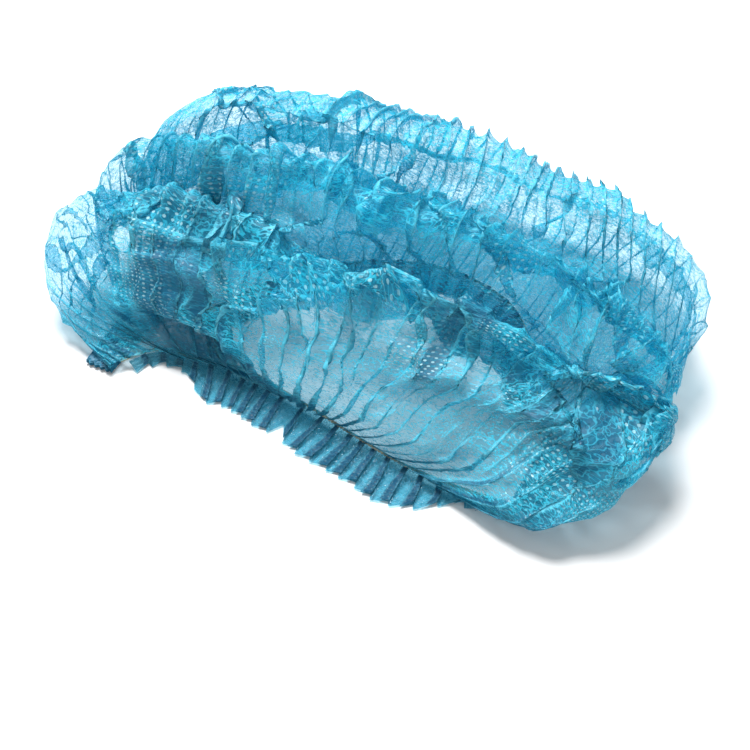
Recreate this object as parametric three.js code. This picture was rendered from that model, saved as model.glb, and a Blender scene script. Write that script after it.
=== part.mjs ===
// A disposable bouffant cap of thin pleated nonwoven cloth, opened and set down on its rim.
// A web of cloth is folded lengthwise like an accordion, an elastic thread gathers it near
// each long edge, and both short ends are welded into flat tabs. Opened by hand, the folds
// run from tab to tab like the ribs of a melon and the cloth puffs out past both tabs.
//
// Millimetres, +Z up. +X runs from the left tab to the right one, and the front is at -Y.
// The floor is z = 0, and the rim lies on it with the opening facing down.

import * as THREE from 'three';

// Driving sizes
const clothWall = 1.2;
const gap = 0.3;
const tabLength = 12;
const tabWidth = 28;
const tabThickness = 2.4;
const frillWidth = 13;
const elasticRadius = 0.8;
const elasticSides = 6;
const elasticSteps = 36;

// The welded tabs lie flat on the floor, each given by the middle of its inner edge
const leftTab = { x: -84, y: -68, rise: 0.53, swell: 0.95 };
const rightTab = { x: 80, y: -56, rise: 0.52, swell: 0.95 };

// How the folds leave a tab: y opens out fast, height grows more slowly, and the puff past
// the tab swells and comes back by the middle of the cap
const puffPower = 0.8;
const clothAboveTab = tabThickness + 2 * gap + clothWall / 2;

// How many fold rows from an edge still follow its elastic
const edgeReach = 2.2;

// Cross gathers, made by the elastic, run over the crown from front to back
const gathers = 25;
const columnsPerGather = 3;
const gatherShape = [0, 1, -0.75];
const gatherFade = 0.7;
const rowsPerFold = 2;

// Short steps along and across the cloth, to find which way it faces
const alongStep = 0.004;
const rowStep = 0.1;

// Knife pleats of the frill
const frillPleats = 22;
const columnsPerPleat = 4;
const pleatShape = [0, 1, 0.85, 0.1];
const frillRows = 2;
const pleatHeight = 3.4;
const pleatLean = 2.2;
const frillFall = 0.7;
const hemNotch = { along: 0.42, spread: 0.03 };
const hemEnd = 0.4;
const hemRun = 0.12;

// Each frill starts just under or beside the crown's edge: first and last are its ends along
// the thread, start is how far outside the route it begins and drop how far below it
const frontFrill = { first: 0.05, last: 0.95, start: -0.6, drop: 1.55, notch: 0.45 };
const backFrill = { first: 0.12, last: 0.9, start: 2 * gap, drop: 0, notch: 0 };

// The front thread lies outside the cloth, and the back one under it, against the floor
const frontThread = { first: 0.03, last: 0.97, outward: 2.5, rise: 0.6 };
const backThread = { first: 0.06, last: 0.94, outward: 0.2, rise: -1.8 };

// Where the front bellies forward, low down beside the right tab
const frontLobe = { along: 0.85, spread: 0.1 };

// Routes of the two elastic threads, from the left tab to the right one
const frontRoute = [
  { x: -72, y: -67, z: 4.2 },
  { x: -56, y: -64, z: 4.2 },
  { x: -34, y: -60, z: 4.2 },
  { x: -9, y: -63, z: 4.2 },
  { x: 15, y: -68, z: 4.2 },
  { x: 39, y: -72, z: 4.2 },
  { x: 62, y: -72, z: 4.2 },
];
const backRoute = [
  { x: -68, y: -38, z: 3.4 },
  { x: -52, y: -12, z: 3.4 },
  { x: -24, y: 15, z: 3.4 },
  { x: 10, y: 27, z: 3.4 },
  { x: 42, y: 20, z: 3.4 },
  { x: 64, y: -9, z: 3.4 },
];

// One row for each fold line, from the front edge over the crown to the back edge. y and z
// are its place half way along the cap, left and right say how far it puffs out past each
// tab, lobe how far it bellies forward near the right tab, and gather how deep the cross
// gathers are on it.
const folds = [
  { name: 'front_edge', y: -66, z: 4.2, left: 0, right: 0, lobe: 0, gather: 0 },
  { name: 'front_rise', y: -65.5, z: 13, left: 34, right: 30, lobe: 1, gather: 0.8 },
  { name: 'front_wall', y: -59, z: 26, left: 54, right: 48, lobe: 7, gather: 1.0 },
  { name: 'front_slope', y: -45, z: 41, left: 62, right: 60, lobe: 3, gather: 1.0 },
  { name: 'front_ridge', y: -27, z: 55, left: 60, right: 66, lobe: -4, gather: 2.2 },
  { name: 'front_valley', y: -22, z: 45, left: 54, right: 60, lobe: -5, gather: 1.2 },
  { name: 'middle_ridge', y: -7, z: 70, left: 54, right: 60, lobe: -2, gather: 2.6 },
  { name: 'back_valley', y: 10, z: 53, left: 48, right: 54, lobe: 0, gather: 1.2 },
  { name: 'back_ridge', y: 37, z: 64, left: 50, right: 54, lobe: 0, gather: 2.4 },
  { name: 'back_shoulder', y: 59, z: 44, left: 44, right: 50, lobe: 0, gather: 1.8 },
  { name: 'back_belly', y: 71, z: 22, left: 38, right: 42, lobe: 0, gather: 1.6 },
  { name: 'back_under', y: 62, z: 1.6, left: 24, right: 30, lobe: 0, gather: 0.8 },
  { name: 'back_tuck', y: 44, z: 3.4, left: 10, right: 12, lobe: 0, gather: 0.4 },
  { name: 'back_edge', y: 27, z: 3.4, left: 0, right: 0, lobe: 0, gather: 0 },
];

// Finishes of the single cloth, the doubled cloth, the welded plies and the thread
const crownFinish = { color: 0x4fb4d6, roughness: 0.8 };
const frillFinish = { color: 0x2f95c0, roughness: 0.8 };
const weldFinish = { color: 0x1f86b4, roughness: 0.6 };
const threadFinish = { color: 0xe6dcc0, roughness: 0.7 };

const lastFold = folds.length - 1;
const cap = new THREE.Group();

function lerp(a, b, k) {
  return a + (b - a) * k;
}

// A smooth rise and fall along the cap, 1 at its place and near 0 outside its spread
function bump(along, place) {
  return Math.exp(-Math.pow((along - place.along) / place.spread, 2));
}

// A smooth line through the points of a route, with both ends on the tabs
function routeCurve(points, side) {
  const start = tabEdge(leftTab, side);
  const end = tabEdge(rightTab, side);
  const middle = points.map((p) => new THREE.Vector3(p.x, p.y, p.z));
  return new THREE.CatmullRomCurve3([start, ...middle, end], false, 'centripetal');
}

// The point on a tab's inner edge where a fold is welded; across runs 0 at the front edge of
// the cloth to 1 at its back edge
function tabEdge(tab, across) {
  return new THREE.Vector3(tab.x, tab.y + tabWidth * (across - 0.5), clothAboveTab);
}

const frontCurve = routeCurve(frontRoute, 0);
const backCurve = routeCurve(backRoute, 1);

// The place of a fold between its rows in the table, as one smooth section of the cap
function foldAt(row) {
  const low = Math.min(Math.floor(row), lastFold - 1);
  const k = row - low;
  const a = folds[Math.max(low - 1, 0)];
  const b = folds[low];
  const c = folds[low + 1];
  const d = folds[Math.min(low + 2, lastFold)];
  const smooth = (key) => 0.5 * (2 * b[key] + (c[key] - a[key]) * k
    + (2 * a[key] - 5 * b[key] + 4 * c[key] - d[key]) * k * k
    + (3 * b[key] - a[key] - 3 * c[key] + d[key]) * k * k * k);
  return {
    y: smooth('y'),
    z: smooth('z'),
    left: lerp(b.left, c.left, k),
    right: lerp(b.right, c.right, k),
    lobe: lerp(b.lobe, c.lobe, k),
    gather: lerp(b.gather, c.gather, k),
    across: row / lastFold,
  };
}

// The smooth crown: along runs from the left tab to the right one, row counts the folds
function crownPoint(along, row) {
  const fold = foldAt(row);
  const turn = Math.PI * along;
  const leftHalf = along < 0.5;
  const tab = leftHalf ? leftTab : rightTab;
  const edge = tabEdge(tab, fold.across);
  const open = Math.pow(Math.sin(turn), tab.rise);
  const lift = Math.pow(Math.sin(turn), tab.swell);
  const puff = Math.pow(Math.abs(Math.sin(2 * turn)), puffPower);
  const base = lerp(leftTab.x, rightTab.x, (1 - Math.cos(turn)) / 2);
  const point = new THREE.Vector3(
    base + (leftHalf ? -fold.left : fold.right) * puff,
    lerp(edge.y, fold.y, open) - fold.lobe * bump(along, frontLobe),
    Math.max(lerp(edge.z, fold.z, lift), clothWall / 2),
  );
  return point.add(edgePull(along, row, frontCurve, 0)).add(edgePull(along, row, backCurve, lastFold));
}

// Close to an elastic the cloth follows the thread's own route
function edgePull(along, row, curve, edgeRow) {
  const hold = Math.max(0, 1 - Math.abs(row - edgeRow) / edgeReach);
  if (hold === 0) {
    return new THREE.Vector3();
  }
  const fold = folds[edgeRow];
  const turn = Math.PI * along;
  const tab = along < 0.5 ? leftTab : rightTab;
  const edge = tabEdge(tab, edgeRow / lastFold);
  const plain = new THREE.Vector3(
    lerp(leftTab.x, rightTab.x, (1 - Math.cos(turn)) / 2),
    lerp(edge.y, fold.y, Math.pow(Math.sin(turn), tab.rise)),
    lerp(edge.z, fold.z, Math.pow(Math.sin(turn), tab.swell)),
  );
  return curve.getPointAt((1 - Math.cos(turn)) / 2).sub(plain).multiplyScalar(hold);
}

// The outward normal of the smooth crown
function crownNormal(along, row) {
  const a0 = Math.max(along - alongStep, 0);
  const a1 = Math.min(along + alongStep, 1);
  const r0 = Math.max(row - rowStep, 0);
  const r1 = Math.min(row + rowStep, lastFold);
  const alongDir = crownPoint(a1, row).sub(crownPoint(a0, row));
  const acrossDir = crownPoint(along, r1).sub(crownPoint(along, r0));
  return alongDir.cross(acrossDir).normalize();
}

function crownGrid() {
  const columns = gathers * columnsPerGather;
  const rows = lastFold * rowsPerFold;
  const grid = [];
  for (let i = 0; i <= columns; i += 1) {
    const along = i / columns;
    const wave = gatherShape[i % columnsPerGather] * Math.pow(Math.sin(Math.PI * along), gatherFade);
    const line = [];
    for (let j = 0; j <= rows; j += 1) {
      const row = j / rowsPerFold;
      const point = crownPoint(along, row);
      const depth = foldAt(row).gather * wave;
      point.addScaledVector(crownNormal(along, row), depth);
      point.z = Math.max(point.z, clothWall / 2);
      line.push(point);
    }
    grid.push(line);
  }
  return grid;
}

// Normals of a grid of points, averaged over the faces round each point
function gridNormals(grid) {
  const columns = grid.length;
  const rows = grid[0].length;
  const normals = grid.map((line) => line.map(() => new THREE.Vector3()));
  for (let i = 0; i < columns - 1; i += 1) {
    for (let j = 0; j < rows - 1; j += 1) {
      const diagonal = grid[i + 1][j + 1].clone().sub(grid[i][j]);
      const other = grid[i][j + 1].clone().sub(grid[i + 1][j]);
      const face = diagonal.cross(other).normalize();
      for (const [a, b] of [[i, j], [i + 1, j], [i, j + 1], [i + 1, j + 1]]) {
        normals[a][b].add(face);
      }
    }
  }
  return normals.map((line) => line.map((n) => n.normalize()));
}

// A closed wall of cloth: the grid is its middle, and both faces lie half a wall away
function clothShell(grid) {
  const columns = grid.length;
  const rows = grid[0].length;
  const normals = gridNormals(grid);
  const positions = [];
  for (const sign of [1, -1]) {
    for (let i = 0; i < columns; i += 1) {
      for (let j = 0; j < rows; j += 1) {
        const p = grid[i][j].clone().addScaledVector(normals[i][j], sign * clothWall / 2);
        positions.push(p.x, p.y, p.z);
      }
    }
  }
  const inner = columns * rows;
  const at = (i, j) => i * rows + j;
  const faces = [];
  const quad = (a, b, c, d) => faces.push(a, b, c, a, c, d);
  for (let i = 0; i < columns - 1; i += 1) {
    for (let j = 0; j < rows - 1; j += 1) {
      quad(at(i, j), at(i + 1, j), at(i + 1, j + 1), at(i, j + 1));
      quad(inner + at(i, j), inner + at(i, j + 1), inner + at(i + 1, j + 1), inner + at(i + 1, j));
    }
  }
  const rim = [];
  for (let i = 0; i < columns - 1; i += 1) {
    rim.push(at(i, 0));
  }
  for (let j = 0; j < rows - 1; j += 1) {
    rim.push(at(columns - 1, j));
  }
  for (let i = columns - 1; i > 0; i -= 1) {
    rim.push(at(i, rows - 1));
  }
  for (let j = rows - 1; j > 0; j -= 1) {
    rim.push(at(0, j));
  }
  for (let k = 0; k < rim.length; k += 1) {
    const a = rim[k];
    const b = rim[(k + 1) % rim.length];
    quad(a, inner + a, inner + b, b);
  }
  const geometry = new THREE.BufferGeometry();
  geometry.setAttribute('position', new THREE.Float32BufferAttribute(positions, 3));
  geometry.setIndex(faces);
  geometry.computeVertexNormals();
  return geometry;
}

function addPiece(name, geometry, finish) {
  const piece = new THREE.Mesh(geometry, new THREE.MeshStandardMaterial({ ...finish, metalness: 0 }));
  piece.name = name;
  cap.add(piece);
  return piece;
}

// A frill outside an elastic: it leaves the thread level with the cloth, falls to the floor
// and ends in a hem whose knife pleats stand up from it
function frillGrid(curve, frill) {
  const columns = frillPleats * columnsPerPleat;
  const grid = [];
  for (let i = 0; i <= columns; i += 1) {
    const along = lerp(frill.first, frill.last, i / columns);
    const point = curve.getPointAt(along);
    const tangent = curve.getTangentAt(along);
    const outward = outwardOf(tangent);
    const fold = pleatShape[i % columnsPerPleat];
    const width = frillWidth * hemLength(along, frill.notch);
    const line = [];
    for (let j = 0; j <= frillRows; j += 1) {
      const k = j / frillRows;
      const p = point.clone().addScaledVector(outward, frill.start + k * width);
      p.addScaledVector(tangent, (fold - 0.5) * pleatLean * k);
      const sheet = lerp(point.z - frill.drop, clothWall / 2, Math.pow(k, frillFall));
      p.z = sheet + pleatHeight * fold * k;
      line.push(p);
    }
    grid.push(line.reverse());
  }
  return grid;
}

// The hem narrows at both ends, and a notch parts it into two scallops
function hemLength(along, notch) {
  const run = Math.min(1, Math.min(along, 1 - along) / hemRun);
  return lerp(hemEnd, 1, run) - notch * bump(along, hemNotch);
}

// The level direction square to a thread, away from the front of the cap's middle
function outwardOf(tangent) {
  return new THREE.Vector3(tangent.y, -tangent.x, 0).normalize();
}

// The elastic thread beside a route, moved outward and up from it
function elasticGeometry(curve, thread) {
  const points = [];
  for (let i = 0; i <= elasticSteps; i += 1) {
    const along = lerp(thread.first, thread.last, i / elasticSteps);
    const p = curve.getPointAt(along);
    p.addScaledVector(outwardOf(curve.getTangentAt(along)), thread.outward);
    p.z += thread.rise;
    points.push(p);
  }
  const ring = [];
  for (let k = 0; k < elasticSides; k += 1) {
    const angle = 2 * Math.PI * k / elasticSides;
    ring.push(new THREE.Vector2(elasticRadius * Math.cos(angle), elasticRadius * Math.sin(angle)));
  }
  const path = new THREE.CatmullRomCurve3(points, false, 'centripetal');
  return new THREE.ExtrudeGeometry(new THREE.Shape(ring), { steps: elasticSteps, extrudePath: path });
}

// A weld tab: the stacked ends of the folds, pressed into one flat plate
function weldTab(name, tab, outwardSign) {
  const piece = addPiece(name, new THREE.BoxGeometry(tabLength, tabWidth, tabThickness), weldFinish);
  piece.position.set(tab.x + outwardSign * tabLength / 2, tab.y, tabThickness / 2);
}

addPiece('crown', clothShell(crownGrid()), crownFinish);
addPiece('frill_front', clothShell(frillGrid(frontCurve, frontFrill)), frillFinish);
addPiece('frill_back', clothShell(frillGrid(backCurve, backFrill)), frillFinish);
addPiece('elastic_front', elasticGeometry(frontCurve, frontThread), threadFinish);
addPiece('elastic_back', elasticGeometry(backCurve, backThread), threadFinish);
weldTab('end_weld_left', leftTab, -1);
weldTab('end_weld_right', rightTab, 1);

// The origin is the middle of the cap's footprint, on the floor
const footprint = new THREE.Box3().setFromObject(cap).getCenter(new THREE.Vector3());
cap.position.set(-footprint.x, -footprint.y, 0);

export default cap;
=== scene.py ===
# %% [markdown]
# # A disposable bouffant cap of pleated nonwoven cloth
# The cap is one web of very thin spunbond cloth. It is folded lengthwise like an accordion,
# an elastic yarn gathers it near each long edge, and both short ends are welded into flat
# tabs. Somebody has pulled it open and set it down on its rim. This lesson dresses the
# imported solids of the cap: each soft solid gets a finer sheet of cloth in the same place.

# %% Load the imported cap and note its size
import math

import bpy
import numpy as np
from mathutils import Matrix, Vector


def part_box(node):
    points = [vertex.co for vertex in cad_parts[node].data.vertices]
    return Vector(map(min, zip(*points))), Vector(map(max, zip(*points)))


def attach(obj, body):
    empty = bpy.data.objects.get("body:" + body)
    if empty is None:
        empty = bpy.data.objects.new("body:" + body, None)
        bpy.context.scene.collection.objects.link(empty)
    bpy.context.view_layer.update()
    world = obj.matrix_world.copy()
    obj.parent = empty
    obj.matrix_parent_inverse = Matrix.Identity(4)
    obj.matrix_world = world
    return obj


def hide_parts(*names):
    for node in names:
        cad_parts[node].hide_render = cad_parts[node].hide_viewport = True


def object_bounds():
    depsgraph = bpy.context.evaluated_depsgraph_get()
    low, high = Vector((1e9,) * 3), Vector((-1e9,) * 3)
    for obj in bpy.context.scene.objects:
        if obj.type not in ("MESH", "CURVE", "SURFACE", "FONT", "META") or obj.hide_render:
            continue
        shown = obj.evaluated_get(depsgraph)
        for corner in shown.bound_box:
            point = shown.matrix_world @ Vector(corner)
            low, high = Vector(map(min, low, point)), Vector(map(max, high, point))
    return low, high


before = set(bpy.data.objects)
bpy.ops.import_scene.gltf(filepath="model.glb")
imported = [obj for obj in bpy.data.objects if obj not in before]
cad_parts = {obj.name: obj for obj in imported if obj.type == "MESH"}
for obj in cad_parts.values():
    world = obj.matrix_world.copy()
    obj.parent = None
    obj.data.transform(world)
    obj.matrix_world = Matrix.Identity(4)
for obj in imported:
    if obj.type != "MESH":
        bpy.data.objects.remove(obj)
solid_low, solid_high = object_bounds()
print("solids", sorted(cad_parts))
print("box of the solids", tuple(solid_low), tuple(solid_high))

# %% [markdown]
# ## Where the tabs are
# Both welded tabs lie flat on the table. Everything else hangs from their inner edges, so
# their places are read from the frame, and the tables of the cloth are moved by the same
# amount. Lengths in the tables are millimetres, because a maker thinks in them.

# %% Read the tabs' places from the frame
MM = 0.001
left_low, left_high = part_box("end_weld_left")
right_low, right_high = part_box("end_weld_right")
tab_width = left_high.y - left_low.y
tab_length = left_high.x - left_low.x
left_edge = np.array([left_high.x, (left_low.y + left_high.y) / 2, 0])
right_edge = np.array([right_low.x, (right_low.y + right_high.y) / 2, 0])
drawn_left_edge = np.array([-84, -68, 0]) * MM
shift = left_edge - drawn_left_edge
cloth_height_at_tab = 3.6 * MM
lowest_cloth = 0.3 * MM
print("tab", round(tab_length, 4), "by", round(tab_width, 4), "shift", shift.round(5))

# %% [markdown]
# ## The folds
# One row stands for one long fold line, from the front edge over the crown to the back
# edge. `y` and `z` say where the fold is half way along the cap. `left` and `right` say how
# far it puffs out past each tab, `lobe` how far it bellies forward near the right tab, and
# `gather` how deep the cross gathers are on it. A smooth curve through such a short table
# is easier to correct than a sculpted mesh.

# %% The table of folds
fold_rows = [
    {"name": "front_edge", "y": -66, "z": 4.2, "left": 0, "right": 0, "lobe": 0, "gather": 0},
    {"name": "front_rise", "y": -65.5, "z": 13, "left": 34, "right": 30, "lobe": 1, "gather": 0.8},
    {"name": "front_wall", "y": -59, "z": 26, "left": 54, "right": 48, "lobe": 7, "gather": 1.2},
    {"name": "front_slope", "y": -45, "z": 41, "left": 62, "right": 60, "lobe": 3, "gather": 1.4},
    {"name": "front_ridge", "y": -27, "z": 55, "left": 60, "right": 66, "lobe": -4, "gather": 2.6},
    {"name": "front_valley", "y": -22, "z": 45, "left": 54, "right": 60, "lobe": -5, "gather": 1.6},
    {"name": "middle_ridge", "y": -7, "z": 70, "left": 54, "right": 60, "lobe": -2, "gather": 3.0},
    {"name": "back_valley", "y": 10, "z": 53, "left": 48, "right": 54, "lobe": 0, "gather": 1.6},
    {"name": "back_ridge", "y": 37, "z": 64, "left": 50, "right": 54, "lobe": 0, "gather": 2.8},
    {"name": "back_shoulder", "y": 59, "z": 44, "left": 44, "right": 50, "lobe": 0, "gather": 2.0},
    {"name": "back_belly", "y": 71, "z": 22, "left": 38, "right": 42, "lobe": 0, "gather": 1.8},
    {"name": "back_under", "y": 62, "z": 1.6, "left": 24, "right": 30, "lobe": 0, "gather": 0.8},
    {"name": "back_tuck", "y": 44, "z": 3.4, "left": 10, "right": 12, "lobe": 0, "gather": 0.4},
    {"name": "back_edge", "y": 27, "z": 3.4, "left": 0, "right": 0, "lobe": 0, "gather": 0},
]
last_fold = len(fold_rows) - 1
folds = {key: np.array([row[key] for row in fold_rows]) * MM for key in fold_rows[0] if key != "name"}
print(len(fold_rows), "fold lines, highest at", folds["z"].max())


# %% [markdown]
# ## The lines of the two elastics
# Each elastic runs from the left tab to the right one. A centripetal Catmull-Rom curve goes
# through every point of its table without looping, and reading it by its own length keeps
# the pleats evenly spaced.

# %% A smooth route through a few points, read by its length
def mix(a, b, k):
    return a + (b - a) * k


def catmull_rom(points, steps):
    points = np.vstack([2 * points[0] - points[1], points, 2 * points[-1] - points[-2]])
    pieces = []
    for a, b, c, d in zip(points, points[1:], points[2:], points[3:]):
        t1 = np.linalg.norm(b - a) ** 0.5
        t2 = t1 + np.linalg.norm(c - b) ** 0.5
        t3 = t2 + np.linalg.norm(d - c) ** 0.5
        t = np.linspace(t1, t2, steps, endpoint=False)[:, None]
        ab = a + (b - a) * (t / t1)
        bc = b + (c - b) * ((t - t1) / (t2 - t1))
        cd = c + (d - c) * ((t - t2) / (t3 - t2))
        abc = ab + (bc - ab) * (t / t2)
        bcd = bc + (cd - bc) * ((t - t1) / (t3 - t1))
        pieces.append(abc + (bcd - abc) * ((t - t1) / (t2 - t1)))
    pieces.append(points[-2][None, :])
    return np.vstack(pieces)


class Route:
    """A line that is read by the share of its length"""

    def __init__(self, points):
        self.points = catmull_rom(points, 40)
        steps = np.linalg.norm(np.diff(self.points, axis=0), axis=1)
        self.lengths = np.concatenate([[0], np.cumsum(steps)])
        self.length = self.lengths[-1]

    def at(self, share):
        place = np.clip(share, 0, 1) * self.length
        return np.stack([np.interp(place, self.lengths, self.points[:, k]) for k in range(3)], -1)

    def tangent(self, share):
        step = 0.002
        ahead = self.at(share + step) - self.at(share - step)
        return ahead / np.linalg.norm(ahead, axis=-1, keepdims=True)


# %% The elastics' routes
front_points = [
    (-72, -67, 4.2),
    (-56, -64, 4.2),
    (-34, -60, 4.2),
    (-9, -63, 4.2),
    (15, -68, 4.2),
    (39, -72, 4.2),
    (62, -72, 4.2),
]
back_points = [
    (-68, -38, 3.4),
    (-52, -12, 3.4),
    (-24, 15, 3.4),
    (10, 27, 3.4),
    (42, 20, 3.4),
    (64, -9, 3.4),
]


def tab_edge(edge, across):
    height = np.full(np.shape(across), cloth_height_at_tab)
    side = edge[1] + tab_width * (np.asarray(across) - 0.5)
    return np.stack([np.full(np.shape(across), edge[0]), side, height], -1)


def elastic_route(points, across):
    inner = np.array(points) * MM + shift
    return Route(np.vstack([tab_edge(left_edge, across), inner, tab_edge(right_edge, across)]))


front_route = elastic_route(front_points, 0.0)
back_route = elastic_route(back_points, 1.0)
print("front elastic", round(front_route.length, 4), "m, back", round(back_route.length, 4), "m")

# %% [markdown]
# ## The smooth crown
# Every point of the crown is found from two numbers: `along` runs from the left tab to the
# right one, and `row` counts the folds. The folds open out fast as they leave a tab, rise
# more slowly, and puff out past it. Close to an elastic the cloth follows the elastic.

# %% The crown as a formula
folds["y"] = folds["y"] + shift[1]
# Powers of a sine: how fast the folds open, rise and puff out as they leave a tab
rise_left, rise_right = 0.53, 0.52
swell = 0.95
puff_power = 0.8
# How many folds an elastic still holds, and where along the cap the front bellies out
edge_reach = 2.2
lobe_place, lobe_spread = 0.85, 0.1


def fold_at(row):
    low = np.clip(np.floor(row).astype(int), 0, last_fold - 1)
    k = row - low
    a, b, c, d = (np.clip(low + step, 0, last_fold) for step in (-1, 0, 1, 2))
    place = {}
    for key in ("y", "z"):
        v = folds[key]
        slope = v[c] - v[a]
        bend = 2 * v[a] - 5 * v[b] + 4 * v[c] - v[d]
        twist = 3 * v[b] - v[a] - 3 * v[c] + v[d]
        place[key] = 0.5 * (2 * v[b] + slope * k + bend * k**2 + twist * k**3)
    for key in ("left", "right", "lobe", "gather"):
        place[key] = mix(folds[key][b], folds[key][c], k)
    return place


def bump_at(value, place, spread):
    return np.exp(-(((value - place) / spread) ** 2))


def edge_pull(along, row, route, edge_row):
    hold = np.maximum(0, 1 - np.abs(row - edge_row) / edge_reach)[..., None]
    turn = math.pi * along
    left = along < 0.5
    across = edge_row / last_fold
    edge_y = np.where(left, left_edge[1], right_edge[1]) + tab_width * (across - 0.5)
    opened = np.sin(turn) ** np.where(left, rise_left, rise_right)
    plain = np.stack(
        [
            mix(left_edge[0], right_edge[0], (1 - np.cos(turn)) / 2),
            mix(edge_y, folds["y"][edge_row], opened),
            mix(cloth_height_at_tab, folds["z"][edge_row], np.sin(turn) ** swell),
        ],
        -1,
    )
    return (route.at((1 - np.cos(turn)) / 2) - plain) * hold


def crown_at(along, row):
    along = np.clip(along, 0, 1)
    row = np.clip(row, 0, last_fold)
    fold = fold_at(row)
    turn = math.pi * along
    left = along < 0.5
    edge_y = np.where(left, left_edge[1], right_edge[1]) + tab_width * (row / last_fold - 0.5)
    opened = np.sin(turn) ** np.where(left, rise_left, rise_right)
    puff = np.abs(np.sin(2 * turn)) ** puff_power * np.where(left, -fold["left"], fold["right"])
    height = mix(cloth_height_at_tab, fold["z"], np.sin(turn) ** swell)
    lobe = fold["lobe"] * bump_at(along, lobe_place, lobe_spread)
    point = np.stack(
        [
            mix(left_edge[0], right_edge[0], (1 - np.cos(turn)) / 2) + puff,
            mix(edge_y, fold["y"], opened) - lobe,
            height,
        ],
        -1,
    )
    point += edge_pull(along, row, front_route, 0)
    point += edge_pull(along, row, back_route, last_fold)
    return point


def normals_of(grid):
    along = np.gradient(grid, axis=0)
    across = np.gradient(grid, axis=1)
    normal = np.cross(along, across)
    return normal / np.maximum(np.linalg.norm(normal, axis=-1, keepdims=True), 1e-12)


top_row = float(np.argmax(folds["z"]))
print("top fold half way along", crown_at(np.array([0.5]), np.array([top_row]))[0].round(4))

# %% [markdown]
# ## Wrinkles as functions
# Thin nonwoven cloth doesn't ripple softly, it creases. Four small functions give that: a
# smooth random field, the same field turned into sharp creases, a sum of such fields from
# coarse to fine, and a zigzag that folds the cloth back over itself as a knife pleat does. A
# seeded lattice of random numbers gives the same wrinkles each time the script runs.

# %% Random fields and folded zigzags
LATTICE = 128


def soft_noise(x, y, seed):
    lattice = np.random.default_rng(seed).uniform(-1, 1, (LATTICE, LATTICE))
    ix, iy = np.floor(x).astype(int), np.floor(y).astype(int)
    fx, fy = x - ix, y - iy
    fx, fy = fx * fx * (3 - 2 * fx), fy * fy * (3 - 2 * fy)
    ix, iy = ix % LATTICE, iy % LATTICE
    jx, jy = (ix + 1) % LATTICE, (iy + 1) % LATTICE
    low = mix(lattice[ix, iy], lattice[jx, iy], fx)
    high = mix(lattice[ix, jy], lattice[jx, jy], fx)
    return mix(low, high, fy)


def crease_noise(x, y, seed):
    return 1 - 2.4 * np.abs(soft_noise(x, y, seed))


def crumple(x, y, seed, pitch, octaves=3, keep=0.5):
    total = np.zeros(np.shape(x))
    depth = 1.0
    for octave in range(octaves):
        drift = soft_noise(x / (2.3 * pitch), y / (2.3 * pitch), seed + 50 + octave)
        total += depth * crease_noise(x / pitch + 0.8 * drift, y / pitch - 0.8 * drift, seed + octave)
        pitch *= 0.52
        depth *= keep
    return total


def zigzag(count, knots):
    """Where a pleated cloth is at a share of its pleats, and how high it stands"""
    whole = np.floor(count)
    steps, places, heights = zip(*knots)
    local = count - whole
    return whole + np.interp(local, steps, places), np.interp(local, steps, heights)


# Each row is a share of one pleat, where its cloth has got to, and how high it stands
knife = [(0, 0, 0), (0.36, 0.58, 0.55), (0.46, 0.66, 1), (0.54, 0.62, 0.85), (0.7, 0.44, 0.35), (1, 1, 0)]
tuck = [(0, 0, 0), (0.24, 0.6, 0.6), (0.38, 0.76, 1), (0.62, 0.74, 1), (0.78, 0.22, 0.4), (1, 1, 0)]


def mirrored(knots):
    return [(1 - step, 1 - place, height) for step, place, height in reversed(knots)]


accordion = [(0, 0, -1), (0.45, 0.72, 1), (0.7, 0.38, 0.1), (1, 1, -1)]
knife_lap = knife[2][1] - knife[4][1]
print("a knife pleat lies three layers deep over", round(knife_lap, 2), "of its pitch")

# %% [markdown]
# ## The crumpled crown
# The crown is one sheet on a fine grid, shared out evenly from tab to tab. Its cloth
# coordinates are moved first, so that the pleats really lie over each other, and then each
# point is raised along the normal of the smooth crown. Cross pleats run over the long folds,
# deeper ones rise from both elastics and fade, and accordion plies crowd together towards
# the tabs. Their places wander, so that no two of them are alike.

# %% Share the cloth out evenly from tab to tab
many_along = np.linspace(0, 1, 801)


def even_shares():
    shares = []
    for row in range(1, last_fold):
        line = crown_at(many_along, np.full_like(many_along, float(row)))
        steps = np.linalg.norm(np.diff(line, axis=0), axis=-1)
        length = np.concatenate([[0], np.cumsum(steps)])
        shares.append(length / length[-1])
    return np.mean(shares, axis=0)


cloth_share = even_shares()


def along_at(share):
    return np.interp(share, cloth_share, many_along)


print("a tenth of the cloth reaches", round(float(along_at(0.1)), 3), "of the way along")

# %% Lay the pleats in the cloth's own coordinates
crown_columns, crown_rows = 492, 200
pleats = 56
slope_pleats = 42
flat_length, flat_width = 0.40, 0.38
front_valley, back_valley = 5.0, 7.1
front_crowding, back_crowding, valley_reach = 2.2, 1.8, 0.55

many = np.linspace(0, last_fold, 2000)
crowding = 1 + front_crowding * bump_at(many, front_valley, valley_reach)
crowding += back_crowding * bump_at(many, back_valley, valley_reach)
flat_place = np.cumsum(crowding) / np.sum(crowding)
row_share = np.linspace(0, 1, crown_rows + 1)
row_places = np.interp(row_share, flat_place, many)
row_places[0], row_places[-1] = 0, last_fold
u, v = np.meshgrid(np.linspace(0, 1, crown_columns + 1), row_places, indexing="ij")
x_cloth, y_cloth = u * flat_length / MM, row_share[None, :] * flat_width / MM + 0 * u
along = along_at(u)
ends = np.sin(math.pi * along)
rim = np.minimum(v, last_fold - v)
near_tab = (bump_at(along, 0, 0.11) + bump_at(along, 1, 0.12)) * np.clip(ends * 8, 0, 1)


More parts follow.
